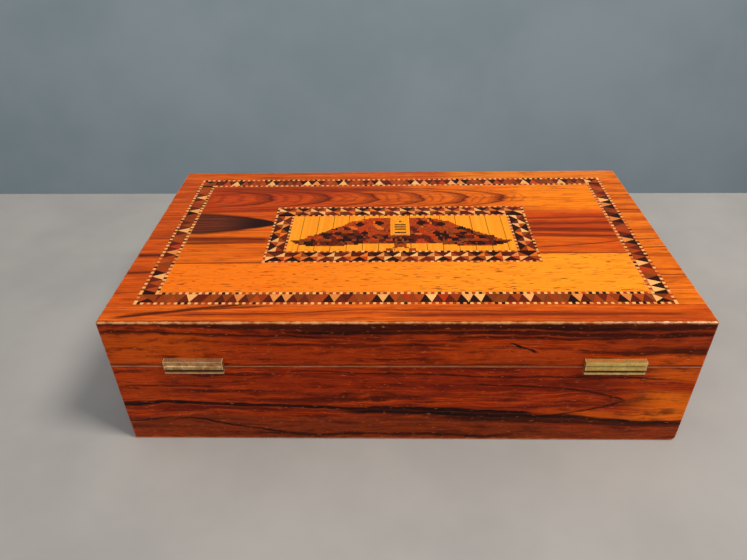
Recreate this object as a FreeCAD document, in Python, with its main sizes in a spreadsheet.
import FreeCAD, Part
import math
import os
from types import SimpleNamespace

import Sketcher

# A hinged box in veneered wood, with inlaid bands and a mosaic panel in its lid.
# Millimetres. Origin at the centre of the underside, +Z up, the lock at -Y, the hinges at +Y.

document = FreeCAD.newDocument("InlaidBox")
sheet = document.addObject("Spreadsheet::Sheet", "dims")

driving_sizes = (
    ("box_length", 250, "overall length along X"),
    ("box_depth", 142, "overall depth along Y, without hinges and key"),
    ("box_height", 69, "overall height"),
    ("lid_height", 22.8, "from the middle of the seam to the top"),
    ("seam_gap", 0.3, "between the two rims when the box is shut"),
    ("wall", 8, "thickness of the walls under the veneer"),
    ("bottom_board", 5, "thickness of the bottom board"),
    ("top_board", 4, "thickness of the lid board"),
    ("veneer", 1.2, "thickness of the sawn veneer and of the inlay"),
    ("arris", 1.1, "rounding of the outer edges"),
    ("worn_corner", 3.6, "rounding of the one lower corner that is worn"),
    ("paper", 0.3, "thickness of the paper under the box"),
    ("paper_margin", 5, "how far that paper stays inside the outer faces"),
    ("lining", 0.8, "thickness of the inner linings"),
    ("facing", 1, "thickness of the strips that face the rims"),
    ("side_margin", 11.5, "width of the crossbanded strips at the ends"),
    ("front_margin", 10.2, "width of the margin strip at the front"),
    ("back_margin", 12.2, "width of the margin strip at the hinges"),
    ("band", 8.7, "width of the vandyke band"),
    ("panel_length", 129, "outer length of the framed panel"),
    ("panel_depth", 53.8, "outer depth of the framed panel"),
    ("panel_shift", 0.1, "how far the panel sits towards the front"),
    ("panel_band", 9.9, "width of the panel's frame band"),
    ("hinge_length", 25, "length of each hinge"),
    ("hinge_spread", 88, "from the middle of the box to each hinge"),
    ("hinge_out", 0.9, "from the back face out to the hinge axis"),
    ("barrel_radius", 1.7, "outer radius of the knuckles"),
    ("barrel_gap", 0.15, "between the barrel and the leaf round it"),
    ("knuckle_gap", 0.2, "between neighbouring knuckles"),
    ("pin_radius", 0.7, "radius of the hinge pin"),
    ("pin_fit", 0.03, "radial clearance round the hinge pin and the drill pin"),
    ("upper_lip", 1.8, "thickness of the upper leaf's stop lip"),
    ("lower_lip", 1, "thickness of the lower leaf's stop lip"),
    ("lip_reach", 1.6, "how far the lips reach beyond the hinge axis"),
    ("leaf_thickness", 1.2, "thickness of the hinge leaves"),
    ("leaf_shoulder", 1, "wood left between a leaf's end and the inside of the wall"),
    ("web", 1, "thickness of the web that carries lip and leaf"),
    ("fit", 0.05, "clearance of metal let into wood"),
    ("screw_radius", 0.7, "shank radius of the wood screws"),
    ("screw_head", 1.4, "head radius of the wood screws"),
    ("screw_length", 6, "length of the wood screws"),
    ("screw_pitch", 8, "from one hinge screw to the next"),
    ("screw_fit", 0.02, "clearance round the screws"),
    ("lock_width", 34, "width of the lock case"),
    ("lock_drop", 22, "height of the lock case"),
    ("lock_thickness", 5.6, "thickness of the lock case"),
    ("lock_plate", 0.8, "thickness of the lock case's sheet"),
    ("selvedge_length", 42, "length of the lock's top plate"),
    ("selvedge_shoulder", 1.6, "wood left between that plate and the veneer"),
    ("lock_screw_spread", 19, "from the middle to the lock screws"),
    ("link_length", 36, "length of the link plate"),
    ("link_screw_spread", 14, "from the middle to the link plate's screws"),
    ("key_drop", 12.5, "from the base rim down to the key's axis"),
    ("keyhole_radius", 2.2, "radius of the keyhole"),
    ("keyhole_slot", 1.8, "width of the keyhole's slot"),
    ("keyhole_tail", 6, "from the key's axis down to the end of the slot"),
    ("escutcheon_rim", 1.3, "width of the escutcheon round the keyhole"),
    ("escutcheon_proud", 0.2, "how far the escutcheon stands out"),
    ("key_radius", 1.7, "outer radius of the key's pipe"),
    ("drill_pin_radius", 0.8, "radius of the pin inside the key's pipe"),
    ("key_out", 8, "from the front face to the key's bow"),
    ("bow_radius", 5.5, "radius of the bow's ring, to its middle"),
    ("bow_wire", 1.2, "radius of the bow's wire"),
    ("bit_overlap", 0.77, "how far the bit reaches past the circle that throws the bolt"),
    ("bit_thickness", 1.2, "thickness of the key's bit"),
    ("bolt_travel", 4, "how far the bolt slides"),
    ("bolt_thickness", 1.4, "thickness of the bolt"),
    ("talon_play", 0.55, "clearance of the bit in the bolt's notch"),
    ("lock_play", 0.3, "clearance of the lock's moving pieces"),
    ("staple_spread", 8, "from the middle to each staple"),
    ("staple_thickness", 1.6, "thickness of a staple"),
    ("staple_width", 3.2, "width of a staple"),
    ("staple_drop", 6.6, "how far the staples reach below the base rim"),
    ("finger_height", 2, "height of the bolt's fingers"),
    ("finger_drop", 3, "from the base rim down to the fingers"),
    ("post_width", 2.4, "width of the posts that carry the fingers"),
)

for row, (alias, value, meaning) in enumerate(driving_sizes, start=1):
    sheet.set(f"A{row}", meaning)
    sheet.set(f"B{row}", str(value))
    sheet.setAlias(f"B{row}", alias)
document.recompute()


class Size:
    """Arithmetic on sheet cells, kept as the text of the expression that an object is bound to."""

    def __init__(self, text):
        self.text = str(text)

    def __add__(self, other):
        return Size(f"({self.text} + {size(other).text})")

    def __sub__(self, other):
        return Size(f"({self.text} - {size(other).text})")

    def __rsub__(self, other):
        return size(other) - self

    def __mul__(self, other):
        return Size(f"({self.text} * {size(other).text})")

    def __truediv__(self, other):
        return Size(f"({self.text} / {size(other).text})")

    def __neg__(self):
        return Size(f"(-1 * {self.text})")

    __radd__ = __add__
    __rmul__ = __mul__

    @property
    def number(self):
        return float(sheet.evalExpression(self.text))


def size(value):
    return value if isinstance(value, Size) else Size(value)


def bind(thing, name, value):
    """Ties one property, or one constraint, to an expression of the sheet's cells."""
    thing.setExpression(name, size(value).text)


dims = SimpleNamespace(**{alias: Size(f"dims.{alias}") for alias, value, meaning in driving_sizes})

# Faces and levels that several pieces share.
half_length = dims.box_length / 2
half_depth = dims.box_depth / 2
carcase_x = half_length - dims.veneer
carcase_y = half_depth - dims.veneer
inside_x = carcase_x - dims.wall
inside_y = carcase_y - dims.wall
lined_x = inside_x - dims.lining
lined_y = inside_y - dims.lining
seam = dims.box_height - dims.lid_height
base_rim = seam - dims.seam_gap / 2
lid_rim = seam + dims.seam_gap / 2
floor = dims.paper + dims.bottom_board
base_wall_top = base_rim - dims.facing
lid_wall_low = lid_rim + dims.facing
board_top = dims.box_height - dims.veneer
ceiling = board_top - dims.top_board


# ---- Ways of making a piece ----

def new_body(label):
    body = document.addObject("PartDesign::Body", label)
    body.Label = label
    return body


def new_sketch(body, role, level):
    """An empty sketch on one of the body's own origin planes, moved along that plane's normal."""
    sketch = body.newObject("Sketcher::SketchObject", f"{body.Label}_sketch")
    plane = next(feature for feature in body.Origin.OriginFeatures if feature.Role == role)
    sketch.AttachmentSupport = [(plane, "")]
    sketch.MapMode = "FlatFace"
    bind(sketch, "AttachmentOffset.Base.z", level)
    return sketch


def fix_point(sketch, geometry, which, across, up):
    for kind, place in (("DistanceX", across), ("DistanceY", up)):
        number = sketch.addConstraint(
            Sketcher.Constraint(kind, -1, 1, geometry, which, size(place).number))
        bind(sketch, f"Constraints[{number}]", place)


def draw_outline(sketch, corners):
    """A closed outline of straight edges, with every corner bound to the sheet."""
    points = [FreeCAD.Vector(size(across).number, size(up).number, 0) for across, up in corners]
    first = sketch.GeometryCount
    for start, end in zip(points, points[1:] + points[:1]):
        sketch.addGeometry(Part.LineSegment(start, end), False)
    for index in range(len(corners)):
        after = (index + 1) % len(corners)
        sketch.addConstraint(Sketcher.Constraint("Coincident", first + index, 2, first + after, 1))
    for index, (across, up) in enumerate(corners):
        fix_point(sketch, first + index, 1, across, up)


def draw_circle(sketch, across, up, radius):
    centre = FreeCAD.Vector(size(across).number, size(up).number, 0)
    circle = Part.Circle(centre, FreeCAD.Vector(0, 0, 1), size(radius).number)
    geometry = sketch.addGeometry(circle, False)
    fix_point(sketch, geometry, 3, across, up)
    number = sketch.addConstraint(Sketcher.Constraint("Radius", geometry, size(radius).number))
    bind(sketch, f"Constraints[{number}]", radius)


def corners_of(across, up):
    return [(across[0], up[0]), (across[1], up[0]), (across[1], up[1]), (across[0], up[1])]


def pad(body, sketch, length):
    feature = body.newObject("PartDesign::Pad", f"{body.Label}_pad")
    feature.Profile = sketch
    bind(feature, "Length", length)
    sketch.Visibility = False
    return feature


def pocket(body, sketch, depth):
    """Cuts along the sketch's own normal and makes sure that material was there to cut."""
    document.recompute()
    before = body.Shape.Volume
    feature = body.newObject("PartDesign::Pocket", f"{body.Label}_pocket")
    feature.Profile = sketch
    feature.Reversed = True
    bind(feature, "Length", depth)
    document.recompute()
    if not body.Shape.Volume < before:
        raise RuntimeError(f"{body.Label}: a pocket cut nothing")
    return feature


def slab(label, across, along, up):
    """A flat-sided piece that fills the three spans."""
    body = new_body(label)
    sketch = new_sketch(body, "XY_Plane", up[0])
    draw_outline(sketch, corners_of(across, along))
    pad(body, sketch, up[1] - up[0])
    return body


def cut_slab(body, across, along, up):
    sketch = new_sketch(body, "XY_Plane", up[0])
    draw_outline(sketch, corners_of(across, along))
    pocket(body, sketch, up[1] - up[0])


def front_sketch(body, far):
    """A sketch that looks along Y. Its normal points to -Y, so its level is minus the far end."""
    return new_sketch(body, "XZ_Plane", -far)


def points_along(edge):
    middle = edge.valueAt((edge.FirstParameter + edge.LastParameter) / 2)
    return [vertex.Point for vertex in edge.Vertexes] + [middle]


def round_edges(body, radius, wanted):
    """Rounds the edges whose ends and middle all answer the question `wanted`."""
    document.recompute()
    base = body.Tip
    names = [f"Edge{number}" for number, edge in enumerate(base.Shape.Edges, start=1)
             if all(wanted(point) for point in points_along(edge))]
    feature = body.newObject("PartDesign::Fillet", f"{body.Label}_rounding")
    feature.Base = (base, names)
    bind(feature, "Radius", radius)
    document.recompute()


def close_to(value, place):
    return abs(value - size(place).number) < 1e-6


def primitive(kind, label, sizes, base, turn=None):
    """A Part primitive with bound sizes and place; `turn` is an axis and an angle in degrees."""
    thing = document.addObject(f"Part::{kind}", label)
    thing.Label = label
    for name, value in sizes.items():
        bind(thing, name, value)
    if turn:
        thing.Placement.Rotation = FreeCAD.Rotation(*turn)
    for name, value in zip("xyz", base):
        bind(thing, f"Placement.Base.{name}", value)
    return thing


def group(label, pieces):
    """Separate solids that share one sub-part."""
    thing = document.addObject("Part::Compound", label)
    thing.Label = label
    thing.Links = pieces
    return thing


def fused(label, pieces):
    thing = document.addObject("Part::MultiFuse", label)
    thing.Label = label
    thing.Shapes = pieces
    return thing


def cut(label, base, tool):
    thing = document.addObject("Part::Cut", label)
    thing.Label = label
    thing.Base = base
    thing.Tool = tool
    return thing


def wear_corner(body, tool):
    """The piece without what is worn off it; it takes over the body's name."""
    name = body.Label
    body.Label = f"{name}_unworn"
    cut(name, body, tool)


def screws(label, places, head_level, inward):
    """Countersunk wood screws; inward is the direction of the point, +1 for up and -1 for down."""
    turn = (FreeCAD.Vector(1, 0, 0), 0 if inward > 0 else 180)
    head_height = dims.screw_head - dims.screw_radius
    made = []
    for number, (across, along) in enumerate(places, start=1):
        head = primitive("Cone", f"{label}_head_{number}",
                         {"Radius1": dims.screw_head, "Radius2": dims.screw_radius,
                          "Height": head_height},
                         (across, along, head_level), turn)
        shank = primitive("Cylinder", f"{label}_shank_{number}",
                          {"Radius": dims.screw_radius, "Height": dims.screw_length - head_height},
                          (across, along, head_level + inward * head_height), turn)
        made.append(fused(f"{label}_{number}", [head, shank]))
    return group(label, made)


def drill_for_screw(body, across, along, rim, inward):
    """The shank's hole in the wood, from the rim as deep as the screw goes."""
    depth = dims.screw_length + dims.screw_fit
    sketch = new_sketch(body, "XY_Plane", rim if inward > 0 else rim - depth)
    draw_circle(sketch, across, along, dims.screw_radius + dims.screw_fit)
    pocket(body, sketch, depth)


def countersink(body, across, along, rim, inward):
    """A countersunk hole through a plate whose outer face is the rim."""
    document.recompute()
    before = body.Shape.Volume
    cone = body.newObject("PartDesign::SubtractiveCone", f"{body.Label}_countersink")
    bind(cone, "Radius1", dims.screw_head + dims.screw_fit)
    bind(cone, "Radius2", dims.screw_radius + dims.screw_fit)
    bind(cone, "Height", dims.screw_head - dims.screw_radius)
    cone.Placement.Rotation = FreeCAD.Rotation(FreeCAD.Vector(1, 0, 0), 0 if inward > 0 else 180)
    for name, value in zip("xyz", (across, along, rim)):
        bind(cone, f"Placement.Base.{name}", value)
    document.recompute()
    if not body.Shape.Volume < before:
        raise RuntimeError(f"{body.Label}: a countersink cut nothing")
    drill_for_screw(body, across, along, rim, inward)


# ---- Hinges: a leaf in each rim, cranked round the barrel to a lip that stops the lid ----

axis_y = half_depth + dims.hinge_out
pocket_radius = dims.barrel_radius + dims.barrel_gap
web_out = axis_y - pocket_radius
web_in = web_out - dims.web
leaf_end = inside_y + dims.leaf_shoulder
lip_tip = axis_y + dims.lip_reach
lip_outer = {1: pocket_radius + dims.upper_lip, -1: pocket_radius + dims.lower_lip}
hinge_centres = {"left": -dims.hinge_spread, "right": dims.hinge_spread}
hinge_screw_y = (leaf_end + web_in) / 2


def span_between(one, other):
    """Two levels as a span from low to high."""
    return (one, other) if one.number < other.number else (other, one)


def cut_leaf_recess(body, rim, side):
    """Where the leaf lies, between its end and the cranked web; side is +1 in the lid, -1 in the base."""
    for centre in hinge_centres.values():
        half = dims.hinge_length / 2 + dims.fit
        cut_slab(body, (centre - half, centre + half), (leaf_end - dims.fit, web_in),
                 span_between(rim, rim + side * (dims.leaf_thickness + dims.fit)))


def cut_barrel_recess(body, rim, side, inner):
    """Where the web, the barrel and the lip go through, as far in as `inner`."""
    for centre in hinge_centres.values():
        half = dims.hinge_length / 2 + dims.fit
        cut_slab(body, (centre - half, centre + half), (inner, half_depth),
                 span_between(rim, seam + side * (lip_outer[side] + dims.fit)))


def hinge_leaf(label, centre, rim, side, knuckles):
    body = new_body(label)
    start = centre - dims.hinge_length / 2
    profile = new_sketch(body, "YZ_Plane", start)
    leaf_back = rim + side * dims.leaf_thickness
    draw_outline(profile, [
        (leaf_end, rim), (web_out, rim), (web_out, seam + side * pocket_radius),
        (lip_tip, seam + side * pocket_radius), (lip_tip, seam + side * lip_outer[side]),
        (web_in, seam + side * lip_outer[side]), (web_in, leaf_back), (leaf_end, leaf_back)])
    pad(body, profile, dims.hinge_length)
    for low, high in knuckles:
        neck = new_sketch(body, "YZ_Plane", start + low)
        draw_outline(neck, corners_of((web_out - dims.web / 2, axis_y), span_between(rim, leaf_back)))
        pad(body, neck, high - low)
        knuckle = new_sketch(body, "YZ_Plane", start + low)
        draw_circle(knuckle, axis_y, seam, dims.barrel_radius)
        pad(body, knuckle, high - low)
    bore = new_sketch(body, "YZ_Plane", start)
    draw_circle(bore, axis_y, seam, dims.pin_radius + dims.pin_fit)
    pocket(body, bore, dims.hinge_length)
    for step in (-1, 0, 1):
        countersink(body, centre + step * dims.screw_pitch, hinge_screw_y, rim, side)
    return body


def hinge_pin(label, centre):
    along_x = (FreeCAD.Vector(0, 1, 0), 90)
    return primitive("Cylinder", label, {"Radius": dims.pin_radius, "Height": dims.hinge_length},
                     (centre - dims.hinge_length / 2, axis_y, seam), along_x)


third = dims.hinge_length / 3
half_gap = dims.knuckle_gap / 2
middle_knuckle = [(third + half_gap, 2 * third - half_gap)]
outer_knuckles = [(size(0), third - half_gap), (2 * third + half_gap, dims.hinge_length)]
hinge_screw_places = [(centre + step * dims.screw_pitch, hinge_screw_y)
                      for centre in hinge_centres.values() for step in (-1, 0, 1)]

# ---- Lock: a case let into the inside of the front wall, under a top plate in the rim ----

case_back = -inside_y
case_front = case_back - dims.lock_thickness
case_low = base_rim - dims.lock_drop
cavity_x = dims.lock_width / 2 - dims.lock_plate
cavity_y = (case_front + dims.lock_plate, case_back - dims.lock_plate)
lock_middle_y = (case_front + case_back) / 2
key_z = base_rim - dims.key_drop
plate_y = (-carcase_y + dims.selvedge_shoulder, -lined_y)
# A quarter turn of the bit, an eighth either side of upright, carries the bolt root two times this radius.
bit_reach = dims.bolt_travel / math.sqrt(2) + dims.bit_overlap
staple_half_y = dims.staple_width / 2
staple_half_x = dims.staple_thickness / 2


def centred(half):
    return (-half, half)


def span_about(middle, half):
    return (middle - half, middle + half)


def lock_case():
    body = slab("lock_case", centred(dims.lock_width / 2), (case_front, case_back),
                (case_low, base_wall_top))
    selvedge = new_sketch(body, "XY_Plane", base_wall_top)
    draw_outline(selvedge, corners_of(centred(dims.selvedge_length / 2), plate_y))
    pad(body, selvedge, dims.facing)
    cut_slab(body, centred(cavity_x), cavity_y, (case_low + dims.lock_plate, base_wall_top))
    for side in (-1, 1):
        cut_slab(body, span_about(side * dims.staple_spread, staple_half_x + dims.lock_play),
                 span_about(lock_middle_y, staple_half_y + dims.lock_play),
                 (base_wall_top, base_rim))
        countersink(body, side * dims.lock_screw_spread, lock_middle_y, base_rim, -1)
    cut_keyhole(body, case_front + dims.lock_plate, dims.lock_plate, size(0))
    mount = front_sketch(body, case_back)
    draw_circle(mount, size(0), key_z, dims.drill_pin_radius)
    pocket(body, mount, dims.lock_plate)
    return body


def cut_keyhole(body, far, depth, wider):
    """A round hole and the slot below it, cut towards -Y from `far`."""
    hole = front_sketch(body, far)
    draw_circle(hole, size(0), key_z, dims.keyhole_radius + wider)
    pocket(body, hole, depth)
    slot = front_sketch(body, far)
    draw_outline(slot, corners_of(centred(dims.keyhole_slot / 2 + wider),
                                  (key_z - dims.keyhole_tail - wider, key_z)))
    pocket(body, slot, depth)


def escutcheon():
    body = new_body("escutcheon")
    thickness = dims.veneer + dims.escutcheon_proud
    disc = front_sketch(body, -carcase_y)
    draw_circle(disc, size(0), key_z, dims.keyhole_radius + dims.escutcheon_rim)
    pad(body, disc, thickness)
    tail = front_sketch(body, -carcase_y)
    half = dims.keyhole_slot / 2 + dims.escutcheon_rim
    draw_outline(tail, corners_of(centred(half),
                                  (key_z - dims.keyhole_tail - dims.escutcheon_rim, key_z)))
    pad(body, tail, thickness)
    cut_keyhole(body, -carcase_y, thickness, size(0))
    return body


def lock_bolt():
    """A bar with a notch for the key's bit below and two hooked fingers above, drawn withdrawn."""
    body = new_body("lock_bolt")
    rest_x = -dims.bolt_travel / 2
    talon_half = dims.bit_thickness / 2 + dims.talon_play
    talon_top = key_z + bit_reach + dims.lock_play
    bar_low = key_z + dims.key_radius + dims.lock_play
    bar_top = base_rim - dims.staple_drop - dims.lock_play
    finger_top = base_rim - dims.finger_drop
    finger_low = finger_top - dims.finger_height
    finger_tip = -staple_half_x - dims.lock_play
    post_right = finger_tip - dims.bolt_travel
    post_left = post_right - dims.post_width
    left = -dims.staple_spread
    right = dims.staple_spread
    outline = [
        (rest_x - talon_half, bar_low), (rest_x - talon_half, talon_top),
        (rest_x + talon_half, talon_top), (rest_x + talon_half, bar_low),
        (right + post_right, bar_low), (right + post_right, finger_low),
        (right + finger_tip, finger_low), (right + finger_tip, finger_top),
        (right + post_left, finger_top), (right + post_left, bar_top),
        (left + post_right, bar_top), (left + post_right, finger_low),
        (left + finger_tip, finger_low), (left + finger_tip, finger_top),
        (left + post_left, finger_top), (left + post_left, bar_low)]
    sketch = front_sketch(body, lock_middle_y + dims.bolt_thickness / 2)
    draw_outline(sketch, outline)
    pad(body, sketch, dims.bolt_thickness)
    return body


def link_plate():
    """The plate in the lid's rim, with two staples that hang into the lock."""
    body = slab("lock_link_plate", centred(dims.link_length / 2), plate_y, (lid_rim, lid_wall_low))
    staple_low = base_rim - dims.staple_drop
    for side in (-1, 1):
        across = span_about(side * dims.staple_spread, staple_half_x)
        staple = new_sketch(body, "XY_Plane", staple_low)
        draw_outline(staple, corners_of(across, span_about(lock_middle_y, staple_half_y)))
        pad(body, staple, lid_rim - staple_low)
        eye_half = dims.bolt_thickness / 2 + dims.lock_play
        finger_top = base_rim - dims.finger_drop
        cut_slab(body, across, span_about(lock_middle_y, eye_half),
                 (finger_top - dims.finger_height - dims.lock_play, finger_top + dims.lock_play))
        countersink(body, side * dims.link_screw_spread, lock_middle_y, lid_rim, 1)
    return body


def key():
    """A pipe key, made with its axis on Y and its bit upright, then set in the lock part-turned."""
    towards_front = (FreeCAD.Vector(1, 0, 0), 90)
    pipe_end = cavity_y[1] - dims.lock_play
    bow_y = -half_depth - dims.key_out - dims.bow_radius
    pipe = primitive("Cylinder", "key_pipe",
                     {"Radius": dims.key_radius, "Height": pipe_end - bow_y - dims.bow_radius},
                     (0, pipe_end, 0), towards_front)
    bit = primitive("Box", "key_bit",
                    {"Length": dims.bit_thickness,
                     "Width": cavity_y[1] - cavity_y[0] - 2 * dims.lock_play,
                     "Height": bit_reach},
                    (-dims.bit_thickness / 2, cavity_y[0] + dims.lock_play, 0))
    collar = primitive("Torus", "key_collar",
                       {"Radius1": dims.key_radius, "Radius2": dims.bow_wire / 2},
                       (0, -half_depth - dims.key_out / 2, 0), towards_front)
    bow = primitive("Torus", "key_bow", {"Radius1": dims.bow_radius, "Radius2": dims.bow_wire},
                    (0, bow_y, 0), (FreeCAD.Vector(0, 1, 0), 90))
    whole = fused("key_blank", [pipe, bit, collar, bow])
    bore = primitive("Cylinder", "key_bore",
                     {"Radius": dims.drill_pin_radius + dims.pin_fit,
                      "Height": pipe_end - case_front},
                     (0, pipe_end, 0), towards_front)
    finished = cut("key", whole, bore)
    finished.Placement.Rotation = FreeCAD.Rotation(FreeCAD.Vector(0, 1, 0), -45)
    bind(finished, "Placement.Base.z", key_z)
    return finished


def drill_pin():
    towards_front = (FreeCAD.Vector(1, 0, 0), 90)
    return primitive("Cylinder", "lock_drill_pin",
                     {"Radius": dims.drill_pin_radius,
                      "Height": dims.lock_thickness - dims.lock_play},
                     (0, case_back, key_z), towards_front)


# ---- Base ----

def long_spans():
    """The front and back walls run the whole length; the end walls stand between them."""
    return {"front": (centred(carcase_x), (-carcase_y, -inside_y)),
            "back": (centred(carcase_x), (inside_y, carcase_y)),
            "left": ((-carcase_x, -inside_x), centred(inside_y)),
            "right": ((inside_x, carcase_x), centred(inside_y))}


def veneer_spans():
    """The front and back veneers cover the ends of the side veneers."""
    return {"front": (centred(half_length), (-half_depth, -carcase_y)),
            "back": (centred(half_length), (carcase_y, half_depth)),
            "left": ((-half_length, -carcase_x), centred(carcase_y)),
            "right": ((carcase_x, half_length), centred(carcase_y))}


def ring(label, outer_x, outer_y, inner_x, inner_y, up):
    body = slab(label, centred(outer_x), centred(outer_y), up)
    cut_slab(body, centred(inner_x), centred(inner_y), up)
    return body


def rim_facing(label, outer_x, outer_y, up, side):
    """Four strips on a rim, with the places of the hinges and of the lock's plate cut out."""
    strips = {
        "front": slab(f"{label}_front", centred(outer_x), (-outer_y, -lined_y), up),
        "back": slab(f"{label}_back", centred(outer_x), (lined_y, outer_y), up),
        "left": slab(f"{label}_left", (-outer_x, -lined_x), centred(lined_y), up),
        "right": slab(f"{label}_right", (lined_x, outer_x), centred(lined_y), up)}
    plate_length = dims.link_length if side > 0 else dims.selvedge_length
    cut_slab(strips["front"], centred(plate_length / 2 + dims.fit),
             (plate_y[0] - dims.fit, plate_y[1]), up)
    cut_leaf_recess_through(strips["back"], up)
    if outer_x is half_length:
        for name in ("front", "back"):
            round_edges(strips[name], dims.arris, on_outer_corner)
    return group(label, list(strips.values()))


def cut_leaf_recess_through(strip, up):
    """The facing is thinner than a leaf, so leaf, web and barrel go right through it."""
    for centre in hinge_centres.values():
        half = dims.hinge_length / 2 + dims.fit
        cut_slab(strip, (centre - half, centre + half), (leaf_end - dims.fit, half_depth), up)


def on_outer_corner(point):
    """On an upright edge at a corner of the box."""
    return close_to(abs(point.x), half_length) and close_to(abs(point.y), half_depth)


def worn_off():
    """What is missing at the lower corner at -X and +Y: a small cube less a ball."""
    radius = dims.worn_corner
    corner = (-half_length, half_depth - radius, dims.paper)
    block = primitive("Box", "worn_block", {"Length": radius, "Width": radius, "Height": radius},
                      corner)
    # A ball through the ends of the edges that it shortens rounds all three faces by the same radius.
    ball = primitive("Sphere", "worn_ball", {"Radius": radius * math.sqrt(2)},
                     (-half_length + radius, half_depth - radius, dims.paper + radius))
    return cut("worn_off", block, ball)


def base_veneers(worn):
    for name, (across, along) in veneer_spans().items():
        body = slab(f"base_{name}_veneer", across, along, (dims.paper, base_wall_top))
        if name == "back":
            cut_barrel_recess(body, base_wall_top, -1, carcase_y)
        if name == "front":
            cut_keyhole(body, -carcase_y, dims.veneer, dims.escutcheon_rim)
        if name in ("front", "back"):
            round_edges(body, dims.arris, on_outer_corner)
        if name in ("back", "left"):
            wear_corner(body, worn)


def base_walls():
    for name, (across, along) in long_spans().items():
        body = slab(f"base_{name}_wall", across, along, (floor, base_wall_top))
        if name == "back":
            cut_barrel_recess(body, base_wall_top, -1, web_in)
            cut_leaf_recess(body, base_wall_top, -1)
            for place in hinge_screw_places:
                drill_for_screw(body, *place, base_rim, -1)
        if name == "front":
            cut_slab(body, centred(dims.lock_width / 2 + dims.fit),
                     (case_front - dims.fit, case_back), (case_low - dims.fit, base_wall_top))
            for side in (-1, 1):
                drill_for_screw(body, side * dims.lock_screw_spread, lock_middle_y, base_rim, -1)
            cut_keyhole(body, case_front, dims.wall - dims.lock_thickness, size(0))


# ---- Lid ----

def lid_walls():
    for name, (across, along) in long_spans().items():
        body = slab(f"lid_{name}_wall", across, along, (lid_wall_low, ceiling))
        if name == "back":
            cut_barrel_recess(body, lid_wall_low, 1, web_in)
            cut_leaf_recess(body, lid_wall_low, 1)
            for place in hinge_screw_places:
                drill_for_screw(body, *place, lid_rim, 1)
        if name == "front":
            for side in (-1, 1):
                drill_for_screw(body, side * dims.link_screw_spread, lock_middle_y, lid_rim, 1)


def lid_veneers():
    for name, (across, along) in veneer_spans().items():
        body = slab(f"lid_{name}_veneer", across, along, (lid_rim, board_top))
        if name == "back":
            cut_barrel_recess(body, lid_rim, 1, carcase_y)
        if name in ("front", "back"):
            round_edges(body, dims.arris, on_outer_corner)


# The top is one layer of veneer: margins, vandyke band, field, panel band and mosaic, edge to edge.
top_level = (board_top, dims.box_height)
band_x = half_length - dims.side_margin
band_front = -half_depth + dims.front_margin
band_back = half_depth - dims.back_margin
field_x = band_x - dims.band
field_y = (band_front + dims.band, band_back - dims.band)
panel_x = dims.panel_length / 2
panel_y = (-dims.panel_shift - dims.panel_depth / 2, -dims.panel_shift + dims.panel_depth / 2)
mosaic_x = panel_x - dims.panel_band
mosaic_y = (panel_y[0] + dims.panel_band, panel_y[1] - dims.panel_band)


def frame_of_four(pattern, outer_x, outer_y, inner_x, inner_y):
    """Four strips round a rectangle: front and back run the whole length, the others between."""
    front = slab(pattern.format("front"), centred(outer_x), (outer_y[0], inner_y[0]), top_level)
    back = slab(pattern.format("back"), centred(outer_x), (inner_y[1], outer_y[1]), top_level)
    left = slab(pattern.format("left"), (-outer_x, -inner_x), inner_y, top_level)
    right = slab(pattern.format("right"), (inner_x, outer_x), inner_y, top_level)
    return front, back, left, right


def on_outer_arris(point):
    """On the upper outer edge of the box, or on one of its upright corners."""
    at_end = close_to(abs(point.x), half_length)
    at_face = close_to(abs(point.y), half_depth)
    return (at_end and at_face) or ((at_end or at_face) and close_to(point.z, dims.box_height))


def lid_top():
    margins = frame_of_four("top_margin_{}", half_length, centred(half_depth),
                            band_x, (band_front, band_back))
    for body in margins:
        round_edges(body, dims.arris, on_outer_arris)
    frame_of_four("vandyke_band_{}", band_x, (band_front, band_back), field_x, field_y)
    field = slab("top_field_veneer", centred(field_x), field_y, top_level)
    cut_slab(field, centred(panel_x), panel_y, top_level)
    frame_of_four("panel_band_{}", panel_x, panel_y, mosaic_x, mosaic_y)
    slab("mosaic_panel", centred(mosaic_x), mosaic_y, top_level)


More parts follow.
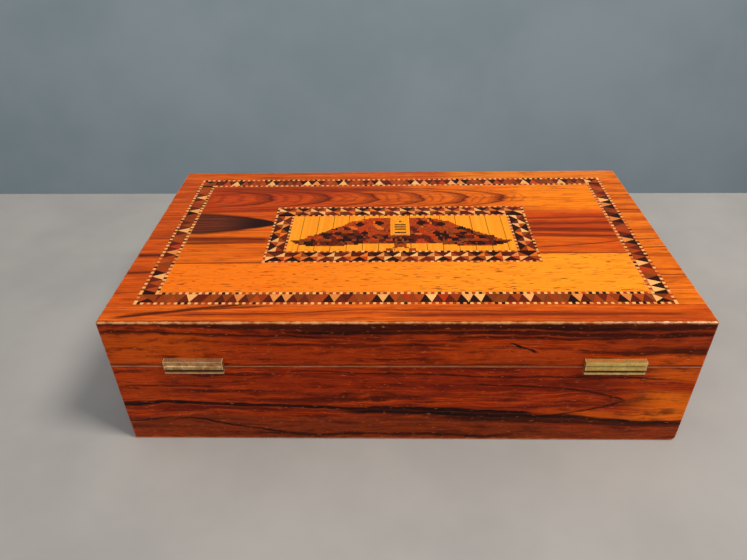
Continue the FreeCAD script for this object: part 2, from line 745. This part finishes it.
def build():
    slab("underside_paper", centred(half_length - dims.paper_margin),
         centred(half_depth - dims.paper_margin), (size(0), dims.paper))
    worn = worn_off()
    wear_corner(slab("bottom_board", centred(carcase_x), centred(carcase_y), (dims.paper, floor)), worn)
    base_walls()
    base_veneers(worn)
    rim_facing("base_rim_facing", half_length, half_depth, (base_wall_top, base_rim), -1)
    slab("base_floor_lining", centred(inside_x), centred(inside_y), (floor, floor + dims.lining))
    ring("base_wall_lining", inside_x, inside_y, lined_x, lined_y,
         (floor + dims.lining, base_wall_top))
    lid_walls()
    slab("lid_board", centred(carcase_x), centred(carcase_y), (ceiling, board_top))
    lid_veneers()
    lid_top()
    rim_facing("lid_rim_facing", carcase_x, carcase_y, (lid_rim, lid_wall_low), 1)
    slab("lid_ceiling_lining", centred(inside_x), centred(inside_y),
         (ceiling - dims.lining, ceiling))
    ring("lid_wall_lining", inside_x, inside_y, lined_x, lined_y,
         (lid_wall_low, ceiling - dims.lining))
    for name, centre in hinge_centres.items():
        hinge_leaf(f"hinge_lower_leaf_{name}", centre, base_rim, -1, outer_knuckles)
        hinge_leaf(f"hinge_upper_leaf_{name}", centre, lid_rim, 1, middle_knuckle)
        hinge_pin(f"hinge_pin_{name}", centre)
    screws("hinge_screws_base", hinge_screw_places, base_rim, -1)
    screws("hinge_screws_lid", hinge_screw_places, lid_rim, 1)
    lock_case()
    drill_pin()
    screws("lock_screws", [(side * dims.lock_screw_spread, lock_middle_y) for side in (-1, 1)],
           base_rim, -1)
    escutcheon()
    lock_bolt()
    link_plate()
    screws("link_plate_screws",
           [(side * dims.link_screw_spread, lock_middle_y) for side in (-1, 1)], lid_rim, 1)
    key()


def sub_parts():
    """The finished pieces: objects that no other piece or group is made from."""
    kinds = ("PartDesign::Body", "Part::Compound", "Part::Cut", "Part::Cylinder")
    used = {child for thing in document.Objects if thing.TypeId.startswith("Part::")
            for child in thing.OutList}
    return [thing for thing in document.Objects if thing.TypeId in kinds and thing not in used]


def check_and_write():
    document.recompute()
    for thing in document.Objects:
        if "Invalid" in thing.State or "Error" in thing.State:
            raise RuntimeError(f"{thing.Label} failed: {thing.State}")
    pieces = sub_parts()
    for piece in pieces:
        if piece.Shape.isNull() or not piece.Shape.isValid():
            raise RuntimeError(f"{piece.Label} has no valid shape")
    os.makedirs("parts", exist_ok=True)
    for piece in pieces:
        piece.Shape.exportStep(f"parts/{piece.Label}.step")
        box = piece.Shape.BoundBox
        print(f"{piece.Label}: {len(piece.Shape.Solids)} solid(s), {piece.Shape.Volume:.1f} mm3, "
              f"x {box.XMin:.2f}..{box.XMax:.2f} y {box.YMin:.2f}..{box.YMax:.2f} "
              f"z {box.ZMin:.2f}..{box.ZMax:.2f}")
    stop = 2 * math.degrees(math.atan(pocket_radius.number / dims.lip_reach.number))
    print(f"{len(pieces)} sub-parts; the hinge lips meet at {stop:.1f} degrees")


build()
check_and_write()
